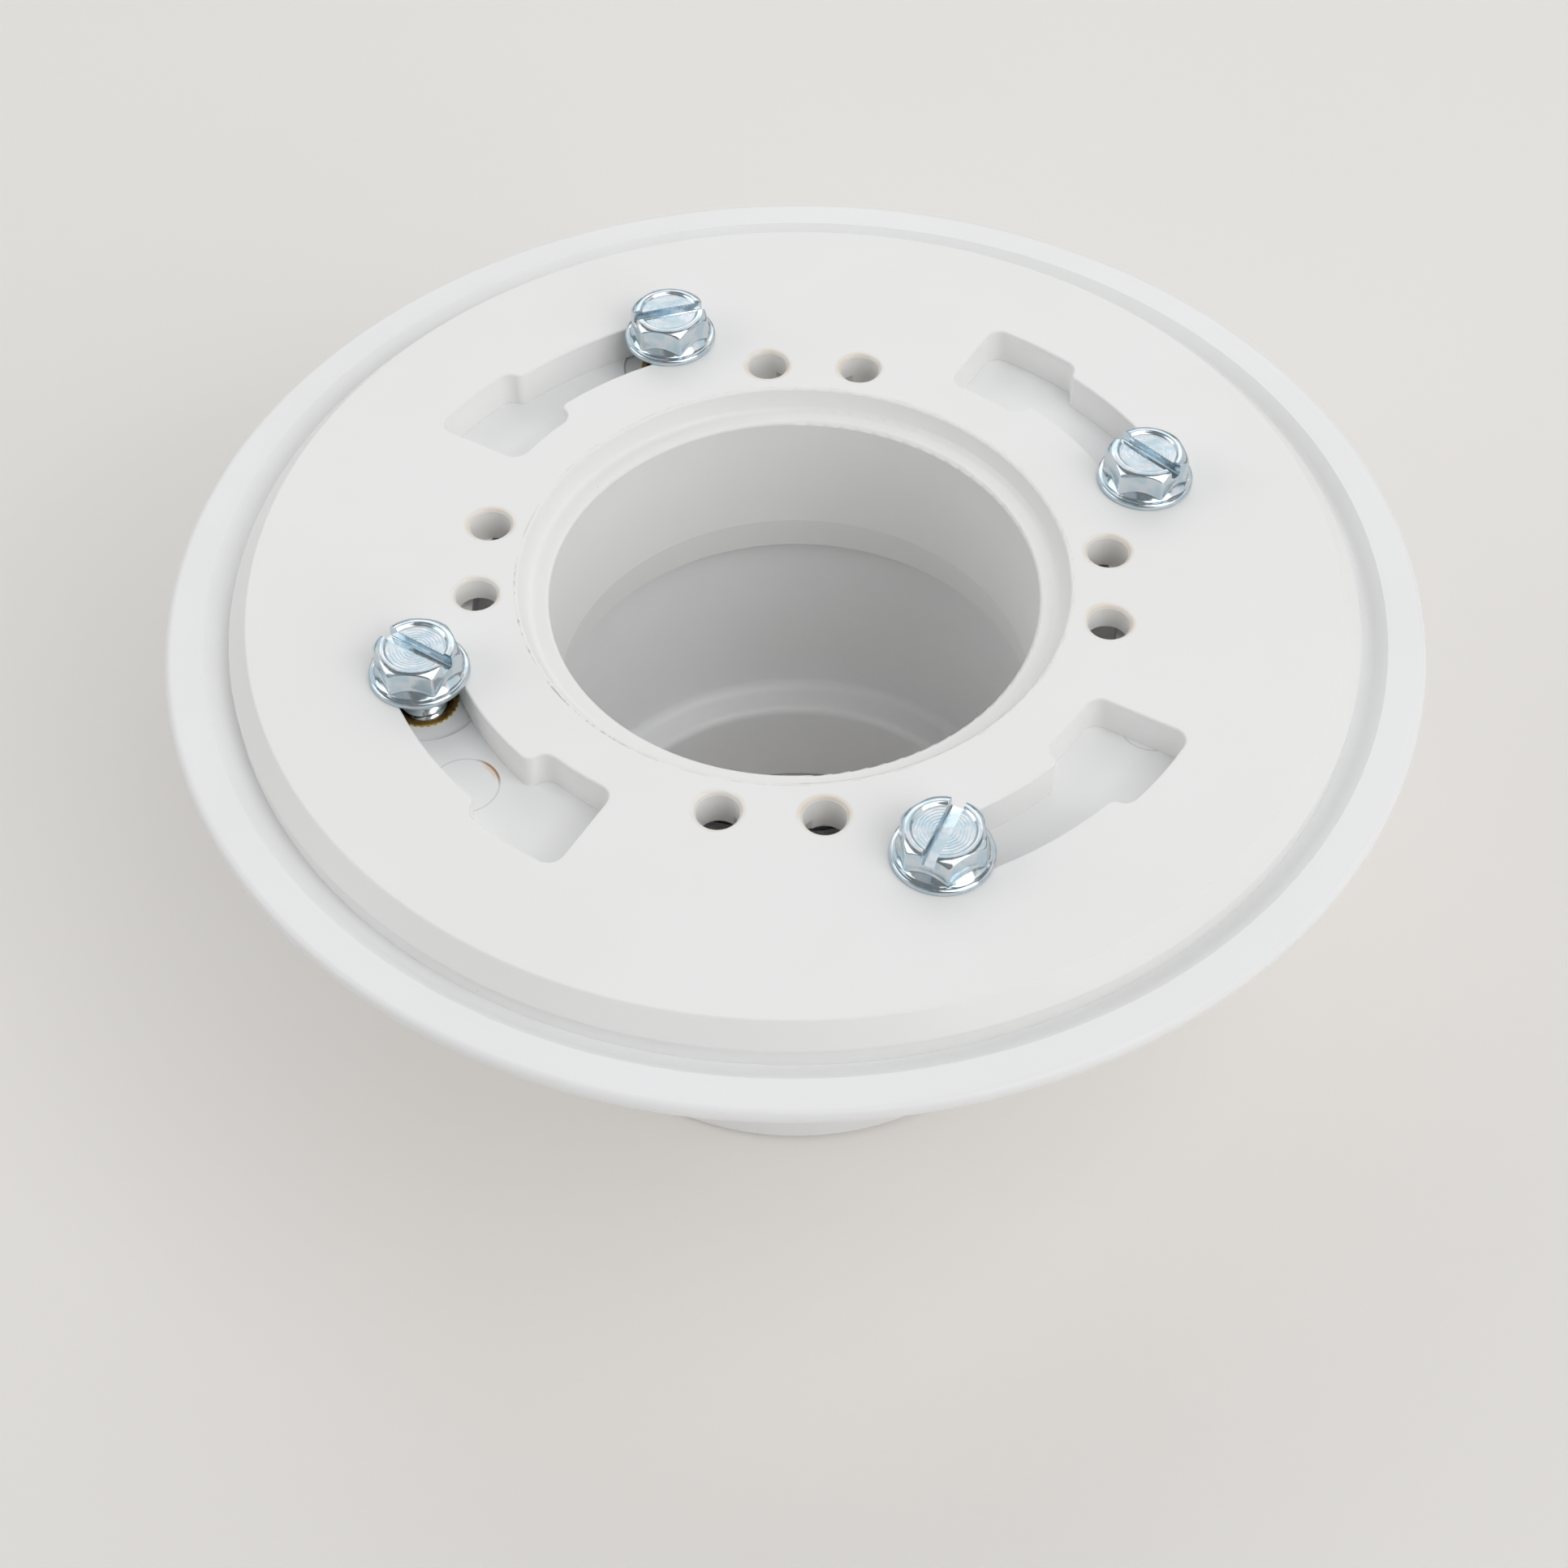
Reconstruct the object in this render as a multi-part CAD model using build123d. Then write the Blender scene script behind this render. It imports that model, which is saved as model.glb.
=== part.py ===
from build123d import *
import math
import os

# Shower drain base with a bolted clamping ring.
# Millimetres, +Z up. The origin is on the drain's axis at the lower end of the hub.

# drain base: hub and throat
HUB_R = 38.9
HUB_CHAMFER = 0.8
SOCKET_R = 30.25
SOCKET_CHAMFER = 0.8
SHELF_Z = 16.2
SHELF_EDGE_R = 1.2
THROAT_R = 35.6
THROAT_FILLET = 1.8
THROAT_EDGE_R = 0.6
CORE_INNER_R = 33.5
CORE_OUTER_R = 35.8
CORE_DEPTH = 12.8

# drain base: dished flange
DECK_Z = 71.7
DECK_OUTER_R = 75.7
DECK_FILLET = 3.0
WEEP_RECESS_R = 43.0
WEEP_FLOOR_OUTER_Z = 67.9
WEEP_FLOOR_INNER_Z = 67.0
RIM_TOP_Z = 74.0
RIM_INNER_R = 78.0
RIM_R = 83.0
RIM_EDGE_R = 1.0
RIM_EDGE_Z = 72.4
RIM_LOWER_R = 0.5
UNDERSIDE_R = 74.6
UNDERSIDE_Z = 67.4
DISH_FILLET = 3.0
STEP_OUTER_R = 50.5
STEP_INNER_R = 48.0
STEP_Z = 63.4
HUB_NECK_R = 41.6
HUB_NECK_Z = 60.6

# bolt stations
BOLT_COUNT = 4
BOLT_CIRCLE_R = 51.0
FIRST_BOLT_DEG = 19.8
BOSS_R = 7.0
BOSS_BOTTOM_Z = 56.6
BOSS_EDGE_R = 1.2
SPOT_DEPTH = 0.25
POCKET_R = 3.9
POCKET_BOTTOM_Z = 59.6

# threaded insert
INSERT_TEETH = 32
INSERT_CREST_R = 4.45
INSERT_ROOT_R = 4.15
KNURL_CREST_SHARE = 0.12
KNURL_ROOT_SHARE = 0.28
INSERT_LENGTH = 9.5
INSERT_BORE_R = 3.2
INSERT_MOUTH = 0.35

# clamping ring
RING_BOTTOM_Z = 72.0
RING_TOP_Z = 77.0
RING_R = 74.55
BEVEL_TOP_R = 72.0
BEVEL_BOTTOM_Z = 74.3
BEVEL_EDGE_R = 0.4
RECESS_TOP_R = 36.5
RECESS_FLOOR_R = 35.2
RECESS_FLOOR_Z = 74.1
RECESS_EDGE_R = 0.4
RECESS_FILLET = 1.0
RING_BORE_R = 32.6
LIP_EDGE_R = 0.5
SLEEVE_R = 34.6
SLEEVE_BOTTOM_Z = 49.5
SLEEVE_TAPER_Z = 55.1
SLEEVE_MOUTH_R = 33.4

# keyhole slots in the clamping ring
SLOT_R = 50.9
SLOT_HALF_WIDTH = 4.3
SLOT_BACK_DEG = 0.8
WIDE_CENTRE_DEG = 31.9
WIDE_HALF_DEG = 7.45
WIDE_INNER_R = 43.8
WIDE_OUTER_R = 57.3
WIDE_CORNER_R = 2.0
NECK_CORNER_R = 1.2
CORNER_MATCH = 0.05
SLOT_EDGE_R = 0.3

# weep holes in the clamping ring
WEEP_CIRCLE_R = 41.9
WEEP_HOLE_R = 2.75
WEEP_CHAMFER = 0.4
WEEP_PAIR_DEG = -24.3
WEEP_HALF_SPACING_DEG = 9.0
WEEP_POCKET_HALF_WIDTH = 2.4
WEEP_POCKET_TOP_Z = 73.4

# slotted hex washer head bolt
WASHER_R = 6.5
WASHER_BOTTOM_Z = 77.3
WASHER_EDGE = 0.4
WASHER_LOWER_ROUND = 0.1
WASHER_UPPER_ROUND = 0.2
CONE_FOOT_R = 5.8
CONE_FOOT_Z = 77.95
CONE_TOP_R = 5.0
CONE_TOP_Z = 79.0
HEX_AF = 10.0
HEAD_TOP_Z = 82.0
HEAD_DISH_R = 3.8
HEAD_DISH_DEPTH = 0.4
HEAD_RIDGE_R = 4.2
HEAD_SHOULDER_R = 5.0
HEAD_SHOULDER_ROUND = 1.5
HEAD_EDGE_R = 5.95
HEAD_EDGE_Z = 80.7
DRIVE_SLOT_LENGTH = 16.0
DRIVE_SLOT_WIDTH = 1.7
DRIVE_SLOT_DEPTH = 1.7
THREAD_R = 3.12
THREAD_ROOT_R = 2.6
THREAD_PITCH = 1.27
THREAD_ROOT_START = 0.42
THREAD_ROOT_END = 0.50
THREAD_CREST_START = 0.90
THREAD_RUNOUT_Z = 76.6
BOLT_TIP_Z = 61.4

# (node suffix, turn of the hexagon, turn of the driver slot), going round from the first bolt
BOLTS = (
    ("right", 46.0, 133.7),
    ("rear", 46.0, 14.2),
    ("left", 54.7, 146.0),
    ("front", 33.8, 65.6),
)
OVERRUN = 1.0


def station_deg(index):
    """Angle of a bolt station about the drain's axis."""
    return FIRST_BOLT_DEG + index * 360.0 / BOLT_COUNT


def polar(radius, degrees):
    """Point in plan at a radius and an angle."""
    turn = math.radians(degrees)
    return (radius * math.cos(turn), radius * math.sin(turn))


def rounded_corner(before, corner, after, size):
    """Start, middle and end of the arc that rounds one corner of a profile."""
    tip = Vector(*corner)
    back = (Vector(*before) - tip).normalized()
    ahead = (Vector(*after) - tip).normalized()
    half = math.radians(back.get_angle(ahead)) / 2
    reach = size / math.tan(half)
    to_middle = (back + ahead).normalized()
    middle = tip + to_middle * (size / math.sin(half) - size)
    return [(p.X, 0, p.Y) for p in (tip + back * reach, middle, tip + ahead * reach)]


def turned(profile, corners=None):
    """Solid of revolution about Z from (radius, height) points, with chosen corners rounded."""
    corners = corners or {}
    stops = []
    for i, corner in enumerate(profile):
        if i in corners:
            after = profile[(i + 1) % len(profile)]
            stops.append(rounded_corner(profile[i - 1], corner, after, corners[i]))
        else:
            stops.append([(corner[0], 0, corner[1])])
    edges = []
    for i, stop in enumerate(stops):
        if len(stop) == 3:
            edges.append(ThreePointArc(*stop))
        edges.append(Line(stop[-1], stops[(i + 1) % len(stops)][0]))
    return revolve(make_face(edges), Axis.Z, 360)


def cylinder_at(radius, bottom, top, x=0.0, y=0.0):
    """Upright cylinder between two heights."""
    return Pos(x, y, bottom) * extrude(Circle(radius), top - bottom)


def knurl_outline():
    """Outline of the insert with its straight knurl."""
    points = []
    pitch = 360.0 / INSERT_TEETH
    for tooth in range(INSERT_TEETH):
        points.append(polar(INSERT_ROOT_R, (tooth - KNURL_ROOT_SHARE) * pitch))
        points.append(polar(INSERT_CREST_R, (tooth - KNURL_CREST_SHARE) * pitch))
        points.append(polar(INSERT_CREST_R, (tooth + KNURL_CREST_SHARE) * pitch))
        points.append(polar(INSERT_ROOT_R, (tooth + KNURL_ROOT_SHARE) * pitch))
    return make_face(Polyline(*points, close=True).edges())


def base_shell():
    """Hub, throat and dished flange turned as one body."""
    profile = [
        (SOCKET_R + SOCKET_CHAMFER, 0),
        (SOCKET_R, SOCKET_CHAMFER),
        (SOCKET_R, SHELF_Z),
        (THROAT_R, SHELF_Z),
        (THROAT_R, WEEP_FLOOR_INNER_Z),
        (WEEP_RECESS_R, WEEP_FLOOR_OUTER_Z),
        (WEEP_RECESS_R, DECK_Z),
        (DECK_OUTER_R, DECK_Z),
        (RIM_INNER_R, RIM_TOP_Z),
        (RIM_R, RIM_TOP_Z),
        (RIM_R, RIM_EDGE_Z),
        (UNDERSIDE_R, UNDERSIDE_Z),
        (STEP_OUTER_R, UNDERSIDE_Z),
        (STEP_INNER_R, STEP_Z),
        (HUB_NECK_R, STEP_Z),
        (HUB_R, HUB_NECK_Z),
        (HUB_R, HUB_CHAMFER),
        (HUB_R - HUB_CHAMFER, 0),
    ]
    corners = {
        2: SHELF_EDGE_R,
        3: THROAT_FILLET,
        4: THROAT_EDGE_R,
        7: DECK_FILLET,
        9: RIM_EDGE_R,
        10: RIM_LOWER_R,
        11: DISH_FILLET,
    }
    return turned(profile, corners)


def base_core():
    """Ring-shaped core between the pipe socket and the hub's outer wall."""
    outer = cylinder_at(CORE_OUTER_R, -OVERRUN, CORE_DEPTH)
    return outer - cylinder_at(CORE_INNER_R, -OVERRUN, CORE_DEPTH)


def drain_base():
    """Dished flange with its hub, throat and four insert bosses."""
    shape = base_shell()
    for index in range(BOLT_COUNT):
        x, y = polar(BOLT_CIRCLE_R, station_deg(index))
        boss = cylinder_at(BOSS_R, BOSS_BOTTOM_Z, UNDERSIDE_Z + OVERRUN, x, y)
        shape += fillet(boss.edges().sort_by(Axis.Z)[0], BOSS_EDGE_R)
    for index in range(BOLT_COUNT):
        x, y = polar(BOLT_CIRCLE_R, station_deg(index))
        shape -= cylinder_at(BOSS_R, DECK_Z - SPOT_DEPTH, DECK_Z + OVERRUN, x, y)
        shape -= cylinder_at(POCKET_R, POCKET_BOTTOM_Z, DECK_Z - INSERT_LENGTH, x, y)
        shape -= Pos(x, y, DECK_Z - INSERT_LENGTH) * extrude(knurl_outline(), INSERT_LENGTH + OVERRUN)
    return shape - base_core()


def insert(index):
    """Knurled brass insert pressed into a boss, flush with the deck."""
    bottom = DECK_Z - INSERT_LENGTH
    body = Pos(0, 0, bottom) * extrude(knurl_outline(), INSERT_LENGTH)
    body -= cylinder_at(INSERT_BORE_R, bottom - OVERRUN, DECK_Z + OVERRUN)
    mouth = turned([
        (0, DECK_Z - INSERT_MOUTH),
        (INSERT_BORE_R, DECK_Z - INSERT_MOUTH),
        (INSERT_BORE_R + INSERT_MOUTH, DECK_Z),
        (INSERT_BORE_R + INSERT_MOUTH, DECK_Z + OVERRUN),
        (0, DECK_Z + OVERRUN),
    ])
    x, y = polar(BOLT_CIRCLE_R, station_deg(index))
    return Pos(x, y, 0) * (body - mouth)


def ring_shell():
    """Clamping plate and its throat sleeve turned as one body."""
    profile = [
        (RING_BORE_R, SLEEVE_TAPER_Z),
        (SLEEVE_MOUTH_R, SLEEVE_BOTTOM_Z),
        (SLEEVE_R, SLEEVE_BOTTOM_Z),
        (SLEEVE_R, RING_BOTTOM_Z),
        (RING_R, RING_BOTTOM_Z),
        (RING_R, BEVEL_BOTTOM_Z),
        (BEVEL_TOP_R, RING_TOP_Z),
        (RECESS_TOP_R, RING_TOP_Z),
        (RECESS_FLOOR_R, RECESS_FLOOR_Z),
        (RING_BORE_R, RECESS_FLOOR_Z),
    ]
    corners = {
        5: BEVEL_EDGE_R,
        6: BEVEL_EDGE_R,
        7: RECESS_EDGE_R,
        8: RECESS_FILLET,
        9: LIP_EDGE_R,
    }
    return turned(profile, corners)


def sector(inner_r, outer_r, start_deg, end_deg):
    """Flat ring sector between two radii and two angles."""
    middle = (start_deg + end_deg) / 2
    return make_face([
        ThreePointArc(polar(outer_r, start_deg), polar(outer_r, middle), polar(outer_r, end_deg)),
        Line(polar(outer_r, end_deg), polar(inner_r, end_deg)),
        ThreePointArc(polar(inner_r, end_deg), polar(inner_r, middle), polar(inner_r, start_deg)),
        Line(polar(inner_r, start_deg), polar(outer_r, start_deg)),
    ])


def keyhole_cutter():
    """Cutter for the keyhole slot of a bolt at angle zero."""
    wide_start = WIDE_CENTRE_DEG - WIDE_HALF_DEG
    wide_end = WIDE_CENTRE_DEG + WIDE_HALF_DEG
    depth = RING_TOP_Z - RING_BOTTOM_Z + 2 * OVERRUN
    wide = extrude(sector(WIDE_INNER_R, WIDE_OUTER_R, wide_start, wide_end), depth)
    wide = fillet(wide.edges().filter_by(Axis.Z), WIDE_CORNER_R)
    inner_r = SLOT_R - SLOT_HALF_WIDTH
    outer_r = SLOT_R + SLOT_HALF_WIDTH
    narrow = extrude(sector(inner_r, outer_r, -SLOT_BACK_DEG, WIDE_CENTRE_DEG), depth)
    end_x, end_y = polar(SLOT_R, -SLOT_BACK_DEG)
    shape = wide + narrow + Pos(end_x, end_y) * extrude(Circle(SLOT_HALF_WIDTH), depth)
    necks = [polar(inner_r, wide_start), polar(outer_r, wide_start)]
    corners = [
        edge for edge in shape.edges().filter_by(Axis.Z)
        if min(math.dist((edge.center().X, edge.center().Y), neck) for neck in necks) < CORNER_MATCH
    ]
    return Pos(0, 0, RING_BOTTOM_Z - OVERRUN) * fillet(corners, NECK_CORNER_R)


def weep_hole(angle_deg):
    """Cutter for one weep hole with its broken top edge."""
    x, y = polar(WEEP_CIRCLE_R, angle_deg)
    cutter = turned([
        (0, RING_BOTTOM_Z - OVERRUN),
        (WEEP_HOLE_R, RING_BOTTOM_Z - OVERRUN),
        (WEEP_HOLE_R, RING_TOP_Z - WEEP_CHAMFER),
        (WEEP_HOLE_R + WEEP_CHAMFER + OVERRUN, RING_TOP_Z + OVERRUN),
        (0, RING_TOP_Z + OVERRUN),
    ])
    return Pos(x, y, 0) * cutter


def weep_pocket(angle_deg):
    """Cutter for the pocket under the ring that links the two weep holes of a pair."""
    inner_r = WEEP_CIRCLE_R - WEEP_POCKET_HALF_WIDTH
    outer_r = WEEP_CIRCLE_R + WEEP_POCKET_HALF_WIDTH
    start_deg = angle_deg - WEEP_HALF_SPACING_DEG
    outline = sector(inner_r, outer_r, start_deg, angle_deg + WEEP_HALF_SPACING_DEG)
    depth = WEEP_POCKET_TOP_Z - RING_BOTTOM_Z + OVERRUN
    return Pos(0, 0, RING_BOTTOM_Z - OVERRUN) * extrude(outline, depth)


def clamping_ring():
    """Bevelled clamping ring with keyhole slots, weep holes and a throat sleeve."""
    shape = ring_shell()
    slot = keyhole_cutter()
    for index in range(BOLT_COUNT):
        shape -= Rot(0, 0, station_deg(index)) * slot
    slot_edges = [
        edge for edge in shape.edges().group_by(Axis.Z)[-1]
        if WEEP_CIRCLE_R < math.hypot(edge.center().X, edge.center().Y) < WIDE_OUTER_R + OVERRUN
    ]
    shape = fillet(slot_edges, SLOT_EDGE_R)
    for index in range(BOLT_COUNT):
        pair_deg = station_deg(index) + WEEP_PAIR_DEG
        shape -= weep_hole(pair_deg - WEEP_HALF_SPACING_DEG)
        shape -= weep_hole(pair_deg + WEEP_HALF_SPACING_DEG)
        shape -= weep_pocket(pair_deg)
    return shape


def hex_head(hex_deg):
    """Hexagon with a rounded crown and a shallow dish in its top."""
    corner_r = HEX_AF / math.sqrt(3)
    hexagon = Rot(0, 0, hex_deg) * RegularPolygon(corner_r, 6)
    prism = Pos(0, 0, WASHER_BOTTOM_Z) * extrude(hexagon, HEAD_TOP_Z - WASHER_BOTTOM_Z)
    crown = turned([
        (0, WASHER_BOTTOM_Z),
        (HEAD_EDGE_R + OVERRUN, WASHER_BOTTOM_Z),
        (HEAD_EDGE_R + OVERRUN, HEAD_EDGE_Z),
        (HEAD_EDGE_R, HEAD_EDGE_Z),
        (HEAD_SHOULDER_R, HEAD_TOP_Z),
        (HEAD_RIDGE_R, HEAD_TOP_Z),
        (HEAD_DISH_R, HEAD_TOP_Z - HEAD_DISH_DEPTH),
        (0, HEAD_TOP_Z - HEAD_DISH_DEPTH),
    ], {4: HEAD_SHOULDER_ROUND})
    return prism & crown


def washer_flange():
    """Washer and the cone that joins it to the hexagon."""
    return turned([
        (0, WASHER_BOTTOM_Z),
        (WASHER_R, WASHER_BOTTOM_Z),
        (WASHER_R, WASHER_BOTTOM_Z + WASHER_EDGE),
        (CONE_FOOT_R, CONE_FOOT_Z),
        (CONE_TOP_R, CONE_TOP_Z),
        (0, CONE_TOP_Z),
    ], {1: WASHER_LOWER_ROUND, 2: WASHER_UPPER_ROUND})


def thread_shank():
    """Shank with ring grooves at the thread's pitch."""
    profile = [(0, WASHER_BOTTOM_Z), (THREAD_R, WASHER_BOTTOM_Z)]
    crest = THREAD_RUNOUT_Z
    while crest - THREAD_PITCH > BOLT_TIP_Z + THREAD_PITCH:
        profile.append((THREAD_R, crest))
        profile.append((THREAD_ROOT_R, crest - THREAD_PITCH * THREAD_ROOT_START))
        profile.append((THREAD_ROOT_R, crest - THREAD_PITCH * THREAD_ROOT_END))
        profile.append((THREAD_R, crest - THREAD_PITCH * THREAD_CREST_START))
        crest -= THREAD_PITCH
    profile.append((THREAD_R, crest))
    profile.append((THREAD_ROOT_R, BOLT_TIP_Z))
    profile.append((0, BOLT_TIP_Z))
    return turned(profile)


def bolt(index, hex_deg, slot_deg):
    """Slotted hex washer head bolt, seated just above the clamping ring."""
    head = hex_head(hex_deg) + washer_flange()
    slot = Rot(0, 0, slot_deg) * Box(DRIVE_SLOT_LENGTH, DRIVE_SLOT_WIDTH, 2 * DRIVE_SLOT_DEPTH)
    head -= Pos(0, 0, HEAD_TOP_Z) * slot
    x, y = polar(BOLT_CIRCLE_R, station_deg(index))
    return Pos(x, y, 0) * (head + thread_shank())


def main():
    os.makedirs("parts", exist_ok=True)
    export_step(drain_base(), "parts/drain_base.step")
    export_step(clamping_ring(), "parts/clamping_ring.step")
    for index, (side, hex_deg, slot_deg) in enumerate(BOLTS):
        export_step(insert(index), "parts/insert_" + side + ".step")
        export_step(bolt(index, hex_deg, slot_deg), "parts/bolt_" + side + ".step")


main()
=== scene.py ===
import math

import bmesh
import bpy
from mathutils import Matrix, Vector


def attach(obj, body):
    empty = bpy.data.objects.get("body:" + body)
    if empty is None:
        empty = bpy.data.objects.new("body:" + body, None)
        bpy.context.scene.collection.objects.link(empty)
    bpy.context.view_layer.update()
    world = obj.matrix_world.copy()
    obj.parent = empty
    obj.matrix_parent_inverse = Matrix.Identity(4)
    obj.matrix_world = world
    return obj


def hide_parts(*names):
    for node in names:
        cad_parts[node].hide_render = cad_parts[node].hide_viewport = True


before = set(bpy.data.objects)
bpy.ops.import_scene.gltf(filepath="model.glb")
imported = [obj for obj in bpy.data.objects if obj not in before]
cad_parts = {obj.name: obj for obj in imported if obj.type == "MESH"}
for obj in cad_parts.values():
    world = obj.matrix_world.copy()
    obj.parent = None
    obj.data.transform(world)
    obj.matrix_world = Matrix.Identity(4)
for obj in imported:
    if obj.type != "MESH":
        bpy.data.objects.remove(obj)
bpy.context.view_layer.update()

MM = 0.001

# camera: a 36 mm wide square frame, looking down at the drain from the -Y side
CAMERA_AT = (-1.65 * MM, -242.1 * MM, 319.34 * MM)
CAMERA_LENS = 59.36
CAMERA_SENSOR = 36.0
CAMERA_ELEVATION = 49.71
CAMERA_ROLL = -0.665
CAMERA_NEAR = 0.01
CAMERA_FAR = 20.0

# stations of the bolts and of the pairs of weep holes, as in the CAD
BOLT_CIRCLE_R = 51.0 * MM
FIRST_BOLT_DEG = 19.8
STATION_DEG = 90.0
WEEP_CIRCLE_R = 41.9 * MM
WEEP_PAIR_DEG = FIRST_BOLT_DEG - 24.3
WEEP_HALF_SPACING_DEG = 9.0
DECK_Z = 71.7 * MM
BOSS_R = 7.0 * MM
RING_BOTTOM_Z = 72.0 * MM
RING_TOP_Z = 77.0 * MM
SLEEVE_R = 34.6 * MM

# the ring and the washers are drawn clamped, with only this much air under them
SEAT_GAP = 0.02 * MM

# bolt head, as heights above the origin and radii from the bolt's axis
HEX_HALF_AF = 5.0 * MM
HEX_CORNER_POWER = 60.0
HEAD_DISH_R = 3.8 * MM
HEAD_DISH_Z = 81.6 * MM
HEAD_RIDGE_R = 4.24 * MM
HEAD_TOP_Z = 82.0 * MM
CROWN_ROUND = 1.5 * MM
CROWN_SLOPE = 1.37
CONE_TOP_R = 5.0 * MM
CONE_TOP_Z = 79.0 * MM
CONE_FOOT_R = 5.8 * MM
CONE_FOOT_Z = 77.95 * MM
WASHER_R = 6.5 * MM
SLOT_HALF_BOTTOM = 0.86 * MM
SLOT_DRAFT = 0.08
SLOT_BOTTOM_Z = 80.3 * MM
SLOT_CORNER = 0.12 * MM
SLOT_REACH = 8.0 * MM
SLOT_HEADROOM = 2.0 * MM
SOFT_EDGE_WIDTH = 0.05 * MM
SOFT_EDGE_DEG = 48.0
SOFT_EDGE_SEGMENTS = 2
BOLT_CRISP_DEG = 38.0

# washer from its upper face round its rim to its underside, as (radius, height)
WASHER_OUTLINE = (
    (6.10 * MM, 77.90 * MM),
    (6.33 * MM, 77.82 * MM),
    (6.44 * MM, 77.70 * MM),
    (WASHER_R, 77.52 * MM),
    (WASHER_R, 77.20 * MM),
    (6.45 * MM, 77.08 * MM),
    (6.35 * MM, RING_TOP_Z + SEAT_GAP),
    (3.45 * MM, RING_TOP_Z + SEAT_GAP),
)

# bolt thread
THREAD_R = 3.12 * MM
THREAD_DEPTH = 0.5 * MM
THREAD_PITCH = 1.27 * MM
THREAD_TOP_Z = 76.8 * MM
THREAD_FADE = 0.7 * MM
BOLT_TIP_Z = 61.4 * MM
BOLT_COLUMNS = 144
THREAD_ROWS_PER_TURN = 8
THREAD_HALF_GROOVE = 0.42
THREAD_STEEPNESS = 1.15
POINT_LENGTH = 0.6 * MM
POINT_DEPTH = 0.5 * MM

# knurled insert
INSERT_TEETH = 32
INSERT_COLUMNS_PER_TOOTH = 8
INSERT_CREST_R = 4.45 * MM
INSERT_ROOT_R = 4.15 * MM
INSERT_BORE_R = 3.2 * MM
INSERT_MOUTH_R = 3.55 * MM
INSERT_BOTTOM_Z = 62.2 * MM
INSERT_TOOTH_POWER = 0.7
INSERT_CRISP_DEG = 45.0

# (node suffix, turn of the hexagon, turn of the driver slot)
BOLTS = (
    ("right", 46.0, 133.7),
    ("rear", 46.0, 14.2),
    ("left", 54.7, 146.0),
    ("front", 33.8, 65.6),
)

# square soft light: (name, azimuth from +X, elevation, distance, side, power)
LIGHTS = (
    ("high_front_right", 315.0, 58.0, 2.0, 1.4, 10.60),
    ("high_rear", 90.0, 52.0, 2.0, 1.8, 7.60),
    ("low_right", 0.0, 28.0, 2.2, 1.5, 4.50),
    ("low_rear_right", 45.0, 28.0, 2.2, 1.5, 3.60),
    ("low_rear", 90.0, 28.0, 2.2, 1.5, 3.50),
    ("low_rear_left", 135.0, 28.0, 2.2, 1.5, 4.20),
    ("low_left", 180.0, 28.0, 2.2, 1.5, 10.20),
    ("low_front_left", 225.0, 28.0, 2.2, 1.5, 1.60),
    ("low_front_right", 315.0, 28.0, 2.2, 1.5, 12.40),
)
LIGHT_COLOUR = (1.0, 0.998, 1.0)
WORLD_COLOUR = (0.98, 0.99, 1.0)
WORLD_STRENGTH = 0.22

# plastics: the base is faintly bluer than the ring
BASE_PALE = (0.900, 0.902, 0.906)
BASE_DEEP = (0.886, 0.887, 0.890)
BASE_ROUGHNESS = 0.34
RING_PALE = (0.900, 0.900, 0.890)
RING_DEEP = (0.888, 0.887, 0.875)
RING_ROUGHNESS = 0.36
PVC_SPECULAR = 0.45

# dust and stains, with painted shade along the ring's recess edge and round each spot face
DUST_COLOUR = (0.33, 0.32, 0.31)
HALO_COLOUR = (0.80, 0.70, 0.58)
HALO_R = 3.15 * MM
LIP_COLOUR = (0.52, 0.42, 0.26)
LIP_R = 2.80 * MM
# painted shade: a grey-brown line along the top edge of the ring's recess, darkest round one point
RECESS_EDGE_SHADE_COLOUR = (0.40, 0.37, 0.30)
RECESS_EDGE_SHADE_R = 36.9 * MM
DARKEST_SHADE_AT = (-34.0 * MM, -14.4 * MM)
MARK_COLOUR = (0.38, 0.36, 0.33)
GLOW_COLOUR = (0.80, 0.52, 0.24)
STAIN_COLOUR = (0.36, 0.18, 0.06)
# painted shade: a thin grey line at the step of each spot face
SPOT_FACE_SHADE_COLOUR = (0.42, 0.42, 0.41)

# metals
ZINC_DEEP = (0.56, 0.68, 0.75)
ZINC_PALE = (0.70, 0.76, 0.80)
ZINC_BLUSH = (0.74, 0.68, 0.76)
TURNING_PITCH = 0.42 * MM
BRASS_DEEP = (0.33, 0.17, 0.05)
BRASS_PALE = (0.46, 0.28, 0.09)
# painted highlight on the knurl's outer rim
BRASS_RIM_HIGHLIGHT = (0.62, 0.50, 0.16)

# table top
FLOOR_PALE = (0.870, 0.846, 0.812)
FLOOR_DEEP = (0.855, 0.831, 0.797)
FLOOR_CLOUD = 80.0 * MM
FLOOR_ROUGHNESS = 0.5
FLOOR_HALF_SIDE = 3000.0 * MM

# ejector mark: (middle in plan, radius, strength)
EJECTOR_MARKS = (
    ((-41.8 * MM, -31.8 * MM), 4.4 * MM, 0.35),
    ((45.5 * MM, -23.1 * MM), 4.2 * MM, 0.35),
)

scene = bpy.context.scene


# ---------------------------------------------------------------- materials


def new_material(name):
    """Empty node material with its shader and output."""
    material = bpy.data.materials.new(name)
    material.use_nodes = True
    tree = material.node_tree
    tree.nodes.clear()
    shader = tree.nodes.new("ShaderNodeBsdfPrincipled")
    output = tree.nodes.new("ShaderNodeOutputMaterial")
    tree.links.new(shader.outputs["BSDF"], output.inputs["Surface"])
    return material, tree, shader


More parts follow.
